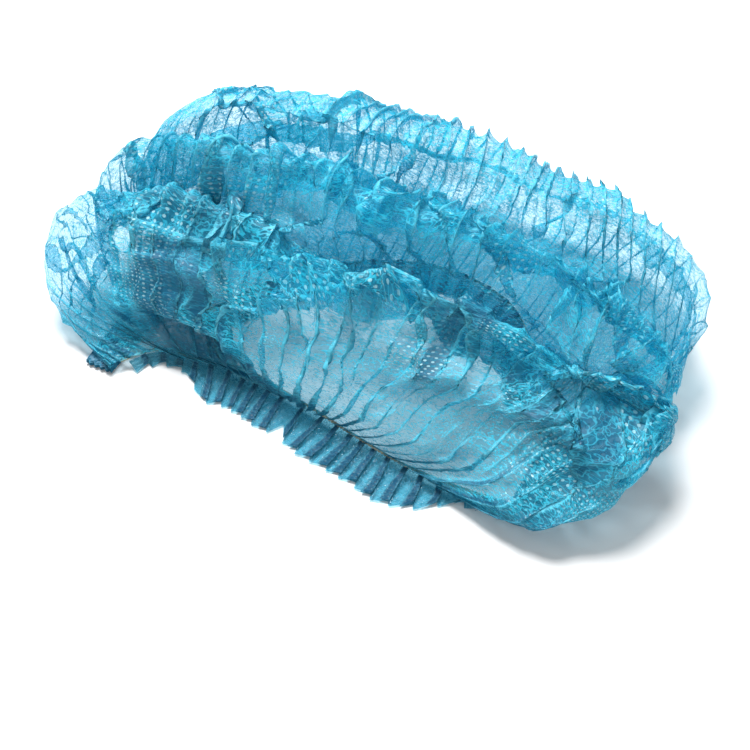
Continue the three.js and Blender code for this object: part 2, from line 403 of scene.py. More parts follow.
def pleat_field(count, wander, hold, knots):
    """How far pleats move the cloth along, and how high they stand, by a mask of their side"""
    to_right, right_height = zigzag(count + wander, knots)
    to_left, left_height = zigzag(count + wander, mirrored(knots))
    side = np.clip(0.5 + 2.2 * soft_noise(u * 6, v * 0.45, 17), 0, 1)
    moved = (mix(to_right, to_left, side) - count - wander) * hold
    return moved, mix(right_height, left_height, side) * hold


slow = soft_noise(u * 7, v * 0.7, 11) * 1.1 + soft_noise(u * 19, v * 1.3, 12) * 0.6
strength = 0.72 + 0.3 * bump_at(v, 9, 2) + 0.8 * soft_noise(u * 34, v * 1.9, 13)
strength = np.clip(strength, 0.1, 1) * np.clip((rim - 0.6) / 1.6, 0, 1)
cross_move, cross_height = pleat_field(u * pleats, slow, strength, knife)
front_hold = bump_at(v, 0, 1.9 + 1.2 * soft_noise(u * 45, 0 * v, 18))
back_hold = 0.6 * bump_at(v, last_fold, 1.1)
rim_strength = (front_hold + back_hold) * np.clip(0.95 + 0.4 * soft_noise(u * 31, v * 0.5, 14), 0.3, 1)
rim_strength *= 1 + 0.3 * np.exp(-v / 0.8)
rim_move, rim_height = pleat_field(u * slope_pleats, 0.35 * slow, rim_strength, tuck)
ply_wander = 0.35 * soft_noise(u * 6, v * 0.4, 15)
ply_place, ply_height = zigzag(v + ply_wander, accordion)

top = np.clip((v - 2.6) / 1.2, 0, 1) * np.clip((10.2 - v) / 1.2, 0, 1)
ply_hold = near_tab + 0.6 * top * np.clip(0.6 + 0.9 * soft_noise(u * 9, v * 0.8, 16), 0, 1)
ply_hold = np.clip(ply_hold, 0, 1)
inside_ends = np.clip(ends * 6, 0, 1)
print("cross pleats every", round(flat_length / pleats / MM, 1), "mm of flat cloth")

# %% [markdown]
# ## Straight creases
# The cap was folded flat for a long time, so straight creases of every direction cross its
# top and its front. Along each one a narrow band of cloth is doubled over and stands up a
# little. The table gives the range of each measure, as shares of the flat cloth, half turns
# or millimetres.

# %% Fold straight creases into the cloth
creases = 150
across_shares, row_shares = (0.1, 0.9), (0.16, 0.7)
slants = (0.15, 0.85)
half_lengths, half_bands, rises = (14, 46), (5, 12), (1.0, 3.4)
share_raised = 0.65
band_knots = [-1, -0.2, 0.2, 1]
dice = np.random.default_rng(5)
x_moved, y_moved, crease_height = 0 * u, 0 * u, 0 * u
for crease in range(creases):
    beside_x = x_cloth - dice.uniform(*across_shares) * flat_length / MM
    beside_y = y_cloth - dice.uniform(*row_shares) * flat_width / MM
    slant = dice.uniform(*slants) * math.pi
    half_length, half_band = dice.uniform(*half_lengths), dice.uniform(*half_bands)
    rise = dice.uniform(*rises) * (1 if dice.uniform() < share_raised else -1)
    off_line = (beside_y * math.cos(slant) - beside_x * math.sin(slant)) / half_band
    beyond = (beside_x * math.cos(slant) + beside_y * math.sin(slant)) / half_length
    hold = np.clip(1.3 - np.abs(beyond), 0, 1)
    doubled = np.interp(off_line, band_knots, [-1, 0.2, -0.2, 1])
    moved = (doubled - np.clip(off_line, -1, 1)) * half_band * hold
    x_moved -= moved * math.sin(slant)
    y_moved += moved * math.cos(slant)
    crease_height += np.clip(1 - np.abs(off_line), 0, 1) * hold * rise
    crease_height += np.interp(off_line, band_knots, [0, 0.8, -0.4, 0]) * hold

# %% Add up all the moves in the plane of the cloth
ply_share, lap_share = 0.9, 0.95
shifts = np.clip(inside_ends * rim / 1.5, 0, 1)
y_share = row_share[None, :] + y_moved * shifts / (flat_width / MM)
v_creased = np.interp(np.clip(y_share, 0, 1), flat_place, many)
u_folded = u + x_moved * shifts / (flat_length / MM)
u_folded += (cross_move / pleats * lap_share + rim_move / slope_pleats) * inside_ends
v_folded = v_creased + (ply_place - v - ply_wander) * ply_hold * ply_share * inside_ends
print(creases, "creases, the tallest", round(crease_height.max(), 1), "mm")

# %% Raise the wrinkles from the smooth crown
rim_tall, ply_tall, crumple_tall, fine_tall = 2.2, 4.0, 2.0, 1.2
crumple_pitch, fine_pitch = 24, 10
smooth = crown_at(along_at(u_folded), v_folded)
normal = normals_of(crown_at(along, v))
fold = fold_at(v)
away = np.clip(ends, 0, 1) ** 0.7
calm_rim = np.clip(rim / 1.3, 0.2, 1)
side_calm = 1 - 0.8 * np.clip(bump_at(along, 0.84, 0.13) + bump_at(along, 0.21, 0.1), 0, 1)
height = (1.6 * cross_height - 0.6) * fold["gather"] * away * side_calm
height += rim_height * rim_tall * MM * away
height += ply_height * ply_hold * ply_tall * MM * calm_rim * inside_ends
height += crumple(x_cloth, y_cloth, 21, crumple_pitch, 2) * crumple_tall * MM * away * calm_rim
fine_calm = 0.3 + 0.7 * side_calm
height += crumple(x_cloth, y_cloth, 41, fine_pitch, 3) * fine_tall * MM * away * calm_rim * fine_calm
height += crease_height * MM * away * calm_rim * side_calm
crown_grid = smooth + normal * height[..., None]

# %% [markdown]
# ## Plies that are still folded under
# The cap isn't fully open: long plies of the accordion still hang inside it. Each row of the
# table pushes the cloth round one fold inwards by an uneven depth, in millimetres, and
# `share` says where along the cap it does so. They show through as deeper blue.

# %% Push the deep plies in
def deep_fold(row, reach, depth, inward, share, seed):
    """One ply pushed inwards, by a depth that varies along the cap"""
    depth = depth * MM
    line = row + 0.35 * soft_noise(u * 6, 0 * v, seed)
    shape = np.clip(1 - np.abs(v - line) / reach, 0, 1) ** 1.1
    uneven = 0.65 + 0.5 * soft_noise(u * 6.3, 0 * v, seed + 1) + 0.3 * soft_noise(u * 17, 0 * v, seed + 2)
    sway = 0.3 * depth * soft_noise(u * 8, 0 * v, seed + 3)
    pushed = np.clip(uneven, 0.15, 1.3) * depth * np.clip(ends * 1.6 - 0.2, 0, 1) * share * shape
    inward = np.array(inward) / np.linalg.norm(inward)
    return pushed[..., None] * inward + (sway * shape * share)[..., None] * np.array([0.8, 0.6, 0])


all_over = np.ones_like(u)
at_left, at_right = bump_at(along, 0.38, 0.06), bump_at(along, 0.68, 0.1)
in_front = bump_at(along, 0.52, 0.16)
deep_plies = [
    {"row": front_valley, "reach": 0.8, "depth": 30, "inward": (0, 0.1, -1), "share": all_over, "seed": 81},
    {"row": back_valley, "reach": 0.8, "depth": 34, "inward": (0, 0.1, -1), "share": all_over, "seed": 91},
    {"row": 9.4, "reach": 0.7, "depth": 20, "inward": (0, -1, -0.3), "share": all_over, "seed": 101},
    {"row": 1.2, "reach": 0.6, "depth": 16, "inward": (0.1, 1, 0), "share": at_left, "seed": 111},
    {"row": 2.2, "reach": 0.5, "depth": 16, "inward": (0.1, 1, 0), "share": at_left, "seed": 121},
    {"row": 4.0, "reach": 0.5, "depth": 24, "inward": (0, -0.5, -0.9), "share": in_front, "seed": 151},
    {"row": 1.9, "reach": 0.8, "depth": 26, "inward": (-0.3, 1, 0.1), "share": at_right, "seed": 131},
    {"row": 3.4, "reach": 0.7, "depth": 24, "inward": (-0.3, 0.8, -0.5), "share": at_right, "seed": 141},
]
for ply in deep_plies:
    crown_grid += deep_fold(**ply)
print("crown grid", crown_grid.shape, "tallest wrinkle", round(height.max() / MM, 1), "mm")

# %% [markdown]
# ## The belly over the right tab
# Low down at the right the front of the crown bellies forward over the elastic, so that the
# cloth hides the right tab and the end of the frill.

# %% Let the front belly out
belly_push = np.array([-2, -13, -2])
belly = bump_at(along, 0.76, 0.07) * bump_at(v, 1.4, 1.1)
crown_grid += belly[..., None] * belly_push * MM
print("belly moves", round(-belly.max() * belly_push[1], 1), "mm forward")

# %% [markdown]
# ## The knot at the right
# At the right the plies were pulled together when the cap was opened, and fan out from one
# pinched place. Points near it are drawn inwards, and pleats radiate round it.

# %% Pinch the cloth
pinch = np.array([88, -20, 40]) * MM
pinch_reach, pinch_depth, pinch_share = 20 * MM, 9 * MM, 0.62
fan_pleats, fan_tall, fan_start, fan_reach = 15, 3.2 * MM, 18 * MM, 42 * MM
reach = np.linalg.norm(crown_grid - pinch, axis=-1)
nearest = np.unravel_index(np.argmin(np.where(rim > 1.5, reach, 1)), reach.shape)
centre, facing = crown_grid[nearest].copy(), normal[nearest].copy()
side = np.cross(facing, [0, 0, 1])
side /= np.linalg.norm(side)
up = np.cross(side, facing)
offset = crown_grid - centre
angle = np.arctan2(offset @ up, offset @ side)
spread = np.linalg.norm(offset, axis=-1)
fan_share = angle / (2 * math.pi) * fan_pleats + 0.3 * soft_noise(spread / (12 * MM), angle, 31)
fan = np.abs((fan_share % 1) * 2 - 1) * 2 - 1
fan_depth = fan_tall * np.clip(spread / fan_start, 0, 1) * bump_at(spread, 0, fan_reach)
crown_grid += normal * (fan * fan_depth * away)[..., None]
pull = pinch_share * bump_at(spread, 0, pinch_reach)[..., None]
crown_grid += (centre - facing * pinch_depth - crown_grid) * pull
print("pinch at", centre.round(4))

# %% Keep the cloth above the table and close to the box of the solids
room_above = 4 * MM
roof = float(solid_high.z) + room_above
crown_grid[..., 2] = np.maximum(crown_grid[..., 2], lowest_cloth)
crown_grid[..., 2] = np.minimum(crown_grid[..., 2], roof)
for axis in range(3):
    print("xyz"[axis], crown_grid[..., axis].min().round(4), crown_grid[..., axis].max().round(4))

# %% [markdown]
# ## From grids to meshes
# A grid of points becomes a mesh of quads, each with its place on the flat cloth as its UV,
# in metres. The same helper makes the crown and both frills. It also measures how sharply the
# cloth turns at each point, because fibres bunch up in a crease and the finish shows that: it
# makes the cloth denser there and paints a highlight along the crease, as on a fold edge that
# catches the light.

# %% Make a sheet from a grid
sharpest_crease = 1 / (1.1 * MM)
smallest_step = 0.2 * MM


def paint_points(piece, name, values):
    layer = piece.data.attributes.new(name, "FLOAT", "POINT")
    layer.data.foreach_set("value", values.ravel().astype(np.float32))


def sheet_from(name, grid, size):
    columns, rows = grid.shape[0], grid.shape[1]
    index = np.arange(columns * rows).reshape(columns, rows)
    quads = np.stack([index[:-1, :-1], index[1:, :-1], index[1:, 1:], index[:-1, 1:]], -1)
    mesh = bpy.data.meshes.new(name)
    mesh.from_pydata(grid.reshape(-1, 3).tolist(), [], quads.reshape(-1, 4).tolist())
    cloth_uv = np.stack(
        np.meshgrid(np.linspace(0, size[0], columns), np.linspace(0, size[1], rows), indexing="ij"), -1
    ).reshape(-1, 2)
    corner = np.empty(len(mesh.loops), dtype=np.int32)
    mesh.loops.foreach_get("vertex_index", corner)
    layer = mesh.uv_layers.new(name="Cloth")
    layer.data.foreach_set("uv", cloth_uv[corner].astype(np.float32).ravel())
    facing = normals_of(grid)
    turn = np.zeros(grid.shape[:2])
    for axis in (0, 1):
        bend = np.linalg.norm(np.gradient(facing, axis=axis), axis=-1)
        step = np.linalg.norm(np.gradient(grid, axis=axis), axis=-1)
        turn = np.maximum(turn, bend / np.maximum(step, smallest_step))
    mesh.polygons.foreach_set("use_smooth", [True] * len(mesh.polygons))
    piece = bpy.data.objects.new(name, mesh)
    paint_points(piece, "Crease", np.clip(turn / sharpest_crease, 0, 1))
    mesh.validate()
    bpy.context.scene.collection.objects.link(piece)
    area = sum(face.area for face in mesh.polygons)
    print(name, len(mesh.polygons) * 2, "triangles,", round(area, 4), "square metres")
    return piece


crown = sheet_from("crown_cloth_sheet", crown_grid, (flat_length, flat_width))

# %% [markdown]
# ## How many plies lie behind, and where shade is painted
# Where plies lie close behind the cloth it looks deep blue, and where it stands alone it
# looks clear. A grid with one layer can't say that, so a second attribute does, and the same
# deep blue also paints the shade of the dim inside of the cap. Each row of the table is a soft
# patch: its place and reach along the cap, its place and reach over the folds, and how much it
# deepens and shades the cloth there, or clears it where the number is negative.

# %% Say where the cloth is deep, where shade is painted on it and where it is clear
patches = [
    {"along": 0.385, "reach": 0.045, "row": 1.9, "row_reach": 1.2, "deeper_and_shaded": 1.6},
    {"along": 0.38, "reach": 0.07, "row": 4.8, "row_reach": 1.2, "deeper_and_shaded": 0.8},
    {"along": 0.53, "reach": 0.03, "row": 5.2, "row_reach": 0.9, "deeper_and_shaded": 0.3},
    {"along": 0.532, "reach": 0.009, "row": 2.85, "row_reach": 0.45, "deeper_and_shaded": 0.45},
    {"along": 0.556, "reach": 0.01, "row": 2.6, "row_reach": 0.45, "deeper_and_shaded": 0.45},
    {"along": 0.68, "reach": 0.07, "row": 3.0, "row_reach": 1.2, "deeper_and_shaded": 0.6},
    {"along": 0.57, "reach": 0.02, "row": 4.0, "row_reach": 0.5, "deeper_and_shaded": 1.0},
    {"along": 0.3, "reach": 0.1, "row": 0.6, "row_reach": 0.9, "deeper_and_shaded": 0.9},
    {"along": 0.8, "reach": 0.1, "row": 1.0, "row_reach": 1.6, "deeper_and_shaded": 0.85},
    {"along": 0.45, "reach": 0.3, "row": 8.6, "row_reach": 1.6, "deeper_and_shaded": 0.26},
    {"along": 0.23, "reach": 0.09, "row": 2.8, "row_reach": 1.9, "deeper_and_shaded": -0.6},
    {"along": 0.8, "reach": 0.09, "row": 8.0, "row_reach": 1.1, "deeper_and_shaded": -0.6},
]
# This mask deepens the blue where plies lie behind, and also paints the shade of the dim inside of the cap
plies = 0.25 * soft_noise(x_cloth / 13, y_cloth / 13, 161) + 0.2 * soft_noise(x_cloth / 5, y_cloth / 5, 162)
plies *= np.clip(rim / 2.5, 0, 1)
for patch in patches:
    over_folds = bump_at(v, patch["row"], patch["row_reach"]) ** 0.7
    plies += patch["deeper_and_shaded"] * bump_at(along, patch["along"], patch["reach"]) * over_folds
plies += np.clip(2.6 * rim_height - 0.7, 0, 1) * (1.7 * np.exp(-v / 0.7) + 0.5 * np.exp(-v / 2.5))
first_bar, bar_pitch = 0.401, 0.02
bars = (0.5 + 0.5 * np.cos(2 * math.pi * (along - first_bar) / bar_pitch)) ** 2
plies -= 1.1 * bars * bump_at(along, 0.405, 0.03) * bump_at(v, 2.0, 0.7)
streaks = np.clip(0.25 + 1.2 * soft_noise(u * 70, v * 0.8, 165), 0, 1)
plies += 0.75 * streaks * bump_at(v, 3.1, 1.0) * bump_at(along, 0.55, 0.14)
paint_points(crown, "PliesAndShade", np.clip(plies, -0.4, 1))
print("hidden plies darken", round(float((plies > 0.4).mean()), 3), "of the crown")

# %% Say where the bond dots catch the light
# Mask of painted glints: where it is high, the bond dots are painted near white, a painted highlight
glint = np.clip(0.2 + 1.7 * soft_noise(x_cloth / 16, y_cloth / 12, 163) - 0.3 * plies, 0, 1)
glint *= np.clip((rim - 0.8) / 1.5, 0.15, 1)
glint += bump_at(along, 0.544, 0.025) * bump_at(v, 2.7, 0.5)
paint_points(crown, "Glint", glint)
print("dots glint on", round(float((glint > 0.4).mean()), 3), "of the crown")

# %% [markdown]
# ## The frills
# Outside each elastic the free edge of the web stands out as a frill of knife pleats. Half of
# its width lies three layers deep, which is why it reads as dark and light bars; those overlaps
# are also painted deep blue, with painted shade in it. The hem steps a little at every pleat,
# and a notch parts the front frill into two scallops. Each row of a table of widths is a share
# of the elastic and a share of the frill's full width.

# %% Shape the frills
frill_width = 17 * MM
frill_pleat = [(0, 0, 0), (0.46, 0.93, 0.5), (0.54, 0.97, 1), (0.74, 0.5, 0.7), (0.8, 0.47, 0.4), (1, 1, 0)]
left_scallop = [(0, 0.2), (0.19, 0.26), (0.25, 0.95), (0.455, 1), (0.475, 0.6)]
front_widths = left_scallop + [(0.5, 1.05), (0.78, 1), (0.9, 0.35), (1, 0.3)]
back_widths = [(0, 0.35), (0.12, 0.7), (0.88, 0.7), (1, 0.35)]


def outward_of(tangent):
    side = np.stack([tangent[..., 1], -tangent[..., 0], np.zeros(tangent.shape[:-1])], -1)
    return side / np.linalg.norm(side, axis=-1, keepdims=True)


def frill_sheet(name, route, pleats, first, last, start, drop, widths, seed):
    """A frill, and the mean share of its full width that its hem leaves"""
    columns, rows = pleats * 20, 18
    i, k = np.meshgrid(np.linspace(0, 1, columns + 1), np.linspace(0, 1, rows + 1), indexing="ij")
    wander = 0.35 * soft_noise(i * 7, k * 0.4, seed) + 0.12 * soft_noise(i * 19, k * 1.5, seed + 1)
    place, height = zigzag(i * pleats + wander, frill_pleat)
    folded = i + (place - i * pleats - wander) / pleats * mix(0.75, 1.0, k)
    along = np.clip(mix(first, last, folded), 0.002, 0.998)
    point, tangent = route.at(along), route.tangent(along)
    step = 0.16 * (0.5 - (place - np.floor(place))) + 0.07 * soft_noise(i * pleats * 0.9, 0 * k, seed + 2)
    width = frill_width * (np.interp(along, *zip(*widths)) + step)
    grid = point + outward_of(tangent) * (start + k * width)[..., None]
    stand = mix(0.6, 1.5, k**0.8) * (0.75 + 0.3 * soft_noise(i * pleats * 0.7, k, seed + 3))
    sheet = mix(point[..., 2] - drop, lowest_cloth, k**0.7)
    grid[..., 2] = sheet + stand * height * MM + 0.16 * MM * crumple(i * 180, k * 13, seed + 4, 3, 2)
    grid[..., 2] = np.maximum(grid[..., 2], lowest_cloth)
    sheet = sheet_from(name, grid[:, ::-1], (flat_length * (last - first), frill_width))
    # Where the pleats overlap, the frill is painted deep blue: the colour of three layers, with painted
    # shade between them
    paint_points(sheet, "PliesAndShade", np.clip(2.2 * height - 0.7, 0, 1)[:, ::-1])
    return sheet, float(np.mean(np.interp(along[:, 0], *zip(*widths))))


front_frill, front_mean = frill_sheet(
    "frill_front_sheet",
    front_route,
    pleats=22,
    first=0.05,
    last=0.95,
    start=-0.6 * MM,
    drop=0.9 * MM,
    widths=front_widths,
    seed=61,
)
back_frill, back_mean = frill_sheet(
    "frill_back_sheet",
    back_route,
    pleats=21,
    first=0.12,
    last=0.9,
    start=0.6 * MM,
    drop=0.2 * MM,
    widths=back_widths,
    seed=71,
)
print("mean width of the front frill", round(front_mean * frill_width, 4), "m")

# %% [markdown]
# ## The elastics
# Each elastic is a yarn of two strands twisted round each other. A helix round the route
# gives each strand its line, and a ring of points carried along it gives the strand its
# body. The front yarn lies on the outside of the cloth, and slips under it towards the left
# tab. The back one lies under the cloth. Each tuck lists, by share of the elastic, how many
# millimetres the yarn lies outside its route.

# %% Twist the yarns
strand_radius, twist_radius, twist_pitch = 0.34 * MM, 0.3 * MM, 3.0 * MM
yarn_step = 0.3 * MM
front_tuck = [(0, -1.6), (0.3, -1.6), (0.42, 0.2), (1, 0.2)]
back_tuck = [(0, 0.2), (1, 0.2)]


def elastic_yarn(name, route, first, last, outward, rise):
    length = (last - first) * route.length
    steps, sides = int(length / yarn_step), 8
    share = np.linspace(first, last, steps)
    tangent = route.tangent(share)
    side = outward_of(tangent)
    over = np.cross(side, tangent)
    centre = route.at(share) + side * np.interp(share, *zip(*outward))[:, None] * MM + [0, 0, rise]
    turns = (share - first) * route.length / twist_pitch * 2 * math.pi
    vertices, faces = [], []
    for strand in range(2):
        phase = turns + strand * math.pi
        core = centre + side * (np.cos(phase) * twist_radius)[:, None]
        core += over * (np.sin(phase) * twist_radius)[:, None]
        base = len(vertices)
        ring = np.arange(sides) / sides * 2 * math.pi
        body = core[:, None] + strand_radius * (
            side[:, None] * np.cos(ring)[:, None] + over[:, None] * np.sin(ring)[:, None]
        )
        vertices += body.reshape(-1, 3).tolist()
        at = base + np.arange(steps * sides).reshape(steps, sides)
        after = np.roll(at, -1, axis=1)
        faces += np.stack([at[:-1], at[1:], after[1:], after[:-1]], -1).reshape(-1, 4).tolist()
        faces += [at[0].tolist(), at[-1][::-1].tolist()]
    mesh = bpy.data.meshes.new(name)
    mesh.from_pydata(vertices, [], faces)
    mesh.polygons.foreach_set("use_smooth", [True] * len(mesh.polygons))
    piece = bpy.data.objects.new(name, mesh)
    bpy.context.scene.collection.objects.link(piece)
    bpy.ops.object.select_all(action="DESELECT")
    piece.select_set(True)
    bpy.context.view_layer.objects.active = piece
    bpy.ops.object.mode_set(mode="EDIT")
    bpy.ops.mesh.select_all(action="SELECT")
    bpy.ops.mesh.normals_make_consistent(inside=False)
    bpy.ops.object.mode_set(mode="OBJECT")
    print(name, round(length, 3), "m long,", round(length / twist_pitch), "turns")
    return piece


front_yarn = elastic_yarn("elastic_front_yarn", front_route, 0.03, 0.97, front_tuck, -0.3 * MM)
back_yarn = elastic_yarn("elastic_back_yarn", back_route, 0.06, 0.94, back_tuck, -1.8 * MM)

# %% [markdown]
# ## The welded tabs
# A press welds the stacked ends of the plies into a flat tab, and leaves rows of short
# dashes in it. The tab starts as a cube at its size and is cut into a grid by subdividing.
# Its sides are pinched between the plies, which are staggered and frayed, and the faces
# under the dashes are inset and sunk.

# %% Press the tabs
plies_shown = 7
stagger_depth, fray_pitch, fray_depth = 0.7 * MM, 2.6 * MM, 5 * MM
columns_of_dashes, rows_of_dashes = 6, 9


def press_tab(name, low, high):
    bpy.ops.object.select_all(action="DESELECT")
    bpy.ops.mesh.primitive_cube_add(size=1, location=(0, 0, 0))
    tab = bpy.context.object
    tab.name = tab.data.name = name
    bpy.ops.object.mode_set(mode="EDIT")
    bpy.ops.mesh.select_all(action="SELECT")
    bpy.ops.mesh.subdivide(number_cuts=27)
    bpy.ops.transform.resize(value=tuple(high - low))
    bpy.ops.transform.translate(value=tuple((low + high) / 2))
    bpy.ops.object.mode_set(mode="OBJECT")
    mesh = tab.data
    height = high.z - low.z
    middle_x, middle_y = (low.x + high.x) / 2, (low.y + high.y) / 2
    for vertex in mesh.vertices:
        ply = (vertex.co.z - low.z) / height * plies_shown
        squeeze = 1 - 0.035 * abs((ply % 1) * 2 - 1)
        stagger = math.sin(2.4 * int(ply)) * stagger_depth
        frayed = abs((vertex.co.x + vertex.co.y) / fray_pitch % 1 - 0.5) * fray_depth
        outer = max(abs(vertex.co.x - middle_x), abs(vertex.co.y - middle_y)) / (high.y - low.y)
        squeeze -= (stagger + frayed) / (high.y - low.y) * min(1, max(0, 4 * outer - 1))
        vertex.co.x = middle_x + (vertex.co.x - middle_x) * squeeze
        vertex.co.y = middle_y + (vertex.co.y - middle_y) * squeeze
    for face in mesh.polygons:
        across = (face.center.x - low.x) / (high.x - low.x) * columns_of_dashes
        down = (face.center.y - low.y) / (high.y - low.y) * rows_of_dashes + 0.5 * (int(across) % 2)
        on_top = face.normal.z > 0.9 and face.center.z > high.z - 0.1 * MM
        face.select = on_top and 0.28 < across % 1 < 0.72 and 0.16 < down % 1 < 0.84
    for edge in mesh.edges:
        edge.select = False
    for vertex in mesh.vertices:
        vertex.select = False
    bpy.ops.object.mode_set(mode="EDIT")
    bpy.ops.mesh.select_mode(type="FACE")
    bpy.ops.mesh.inset(thickness=0.12 * MM, depth=-0.28 * MM)
    bpy.ops.object.mode_set(mode="OBJECT")
    bpy.ops.object.shade_smooth_by_angle(angle=math.radians(35))
    print(name, len(mesh.polygons), "faces,", rows_of_dashes * columns_of_dashes, "dashes")
    return tab


left_tab = press_tab("weld_tab_left", left_low, left_high)
right_tab = press_tab("weld_tab_right", right_low, right_high)

# %% [markdown]
# ## Writing materials as sums
# Shader maths reads best as a formula. `Wire` wraps one socket, so that `1 - mask` or
# `a * b + c` adds the Math nodes that it needs. Its method `node` adds any other node with
# its settings and inputs.

# %% A socket with arithmetic
class Wire:
    def __init__(self, tree, socket=None):
        self.tree = tree
        self.socket = socket

    def node(self, kind, settings, inputs, output=0):
        made = self.tree.nodes.new(kind)
        for key, value in settings.items():
            setattr(made, key, value)
        for key, value in inputs.items():
            if isinstance(value, Wire):
                self.tree.links.new(value.socket, made.inputs[key])
            else:
                made.inputs[key].default_value = value
        return Wire(self.tree, made.outputs[output])

    def maths(self, operation, first, second=0.0, clamp=False):
        settings = {"operation": operation, "use_clamp": clamp}
        return self.node("ShaderNodeMath", settings, {0: first, 1: second})

    def __add__(self, other):
        return self.maths("ADD", self, other)

    __radd__ = __add__

    def __sub__(self, other):
        return self.maths("SUBTRACT", self, other)

    def __rsub__(self, other):
        return self.maths("SUBTRACT", other, self)

    def __mul__(self, other):
        return self.maths("MULTIPLY", self, other)

    __rmul__ = __mul__

    def clamped(self):
        return self.maths("ADD", self, 0.0, clamp=True)

    def above(self, low, high):
        """0 under low, 1 over high and a smooth step between them"""
        return self.node(
            "ShaderNodeMapRange",
            {"interpolation_type": "SMOOTHSTEP"},
            {"Value": self, "From Min": low, "From Max": high},
        )


# %% [markdown]
# ## Spunbond cloth
# Spunbond is a thin web of fibres, bonded in rows of tiny dots, and it lets the light of
# whatever lies behind it through. One layer over a white table is pale, and every further
# layer makes it a deeper blue. So the cloth mixes a clear blue-tinted shader with a matt one,
# and the share of the matt one follows the fibres, the clouds in the web, the creases, the
# bond dots and the hidden plies. The matt colour carries painted light: a painted highlight
# along the creases and on the bond dots, painted glints on the dots in patches, and painted
# shade, mixed with the deep blue of the plies, where plies lie behind. Everything reads the
# cloth's own UV, in metres, or one of its attributes, so it follows the folds. The dots are
# where two crossed sine waves peak.

# %% Paint the nonwoven cloth
dot_waves = 2700
least_cover, most_cover = 0.06, 0.95
# Colours of painted highlights: a paler blue along the creases, and near white on glinting bond dots
crease_highlight_colour, dot_glint_colour = (0.40, 0.84, 0.93), (0.56, 0.93, 1.0)


def nonwoven(name, tint, fibre_colour, deeper_and_shaded, density, roughness, seed):
    material = bpy.data.materials.new(name)
    material.use_nodes = True
    tree = material.node_tree
    tree.nodes.clear()
    wire = Wire(tree)
    cloth = wire.node("ShaderNodeUVMap", {"uv_map": "Cloth"}, {})

    def turned(angle, stretch, shift_by):
        settings = {
            "Vector": cloth,
            "Location": (shift_by, 0.7 * shift_by, seed),
            "Rotation": (0, 0, math.radians(angle)),
            "Scale": (stretch, 1, 1),
        }
        return wire.node("ShaderNodeMapping", {}, settings)

    def web(angle, stretch, spacing, detail, thickness):
        """Thin curled lines where a noise crosses its middle value"""
        field = wire.node(
            "ShaderNodeTexNoise",
            {"noise_dimensions": "2D"},
            {
                "Vector": turned(angle, stretch, angle),
                "Scale": spacing,
                "Detail": detail,
                "Roughness": 0.62,
            },
        )
        return field, 1 - field.maths("ABSOLUTE", field - 0.5).above(0.0, thickness)

    clouds, long_fibres = web(12, 0.8, 300, 2.0, 0.04)
    short_fibres = web(78, 0.6, 650, 1.0, 0.06)[1]
    fibres = long_fibres.maths("MAXIMUM", long_fibres, 0.8 * short_fibres)
    crease = wire.node("ShaderNodeAttribute", {"attribute_name": "Crease"}, {}, 2)
    place = wire.node("ShaderNodeSeparateXYZ", {}, {"Vector": turned(45, 1, 0)})
    place_y = Wire(tree, place.socket.node.outputs[1])
    wave_x, wave_y = place * dot_waves, place_y * dot_waves
    dots = wave_x.maths("SINE", wave_x) * wave_y.maths("SINE", wave_y)
    dots = dots.above(0.5, 0.7)

    plies = wire.node("ShaderNodeAttribute", {"attribute_name": "PliesAndShade"}, {}, 2)
    glint = wire.node("ShaderNodeAttribute", {"attribute_name": "Glint"}, {}, 2)
    glinting_dots = dots * glint
    cover = density + 0.6 * fibres + 0.4 * (clouds - 0.5) + 0.65 * crease * crease
    cover = cover + 0.1 * dots + 0.4 * glinting_dots + 0.7 * plies
    cover = cover.maths("MINIMUM", cover.maths("MAXIMUM", cover, least_cover), most_cover)
    # Painted highlight: creases and bond dots are mixed towards a paler blue, as fold edges and dots that
    # catch the light would look; the dots themselves are a real pattern of the cloth
    highlight_colour = tuple(mix(part, pale, 0.5) for part, pale in zip(fibre_colour, crease_highlight_colour))
    highlight_share = (0.45 * crease + 0.3 * dots + 0.2 * plies).clamped()
    shade = wire.node(
        "ShaderNodeMix",
        {"data_type": "RGBA"},
        {"Factor": highlight_share, "A": (*fibre_colour, 1), "B": (*highlight_colour, 1)},
        2,
    )
    # Towards deep blue where plies lie behind: partly the colour of stacked plies, partly painted shade of
    # the dim inside of the cap
    shade = wire.node(
        "ShaderNodeMix",
        {"data_type": "RGBA"},
        {"Factor": (1.2 * plies - 0.4 * crease - 0.45 * fibres).clamped(), "A": shade, "B": (*deeper_and_shaded, 1)},
        2,
    )
    # Painted glints: bond dots in the glint patches are painted near white
    shade = wire.node(
        "ShaderNodeMix",
        {"data_type": "RGBA"},
        {"Factor": (0.65 * glinting_dots).clamped(), "A": shade, "B": (*dot_glint_colour, 1)},
        2,
    )
    relief = clouds - 0.5 * dots
    bump = wire.node("ShaderNodeBump", {}, {"Strength": 0.8, "Distance": 0.001, "Height": relief})
    gloss = (roughness - 0.28 * dots - 0.5 * (clouds - 0.5) + 0.3 * plies).clamped()
    facing = {"Base Color": shade, "Roughness": gloss, "Normal": bump, "Specular IOR Level": 0.4}
    matt = wire.node("ShaderNodeBsdfPrincipled", {}, facing)
    glow = wire.node("ShaderNodeBsdfTranslucent", {}, {"Color": (*fibre_colour, 1)})
    glowing = (0.3 - 0.18 * plies).clamped()
    fibre_body = wire.node("ShaderNodeMixShader", {}, {0: glowing, 1: matt, 2: glow})
    clear = wire.node("ShaderNodeBsdfTransparent", {}, {"Color": (*tint, 1)})
    surface = wire.node("ShaderNodeMixShader", {}, {0: cover, 1: clear, 2: fibre_body})
    out = tree.nodes.new("ShaderNodeOutputMaterial")
    tree.links.new(surface.socket, out.inputs["Surface"])
    print(name, len(tree.nodes), "nodes")
    return material


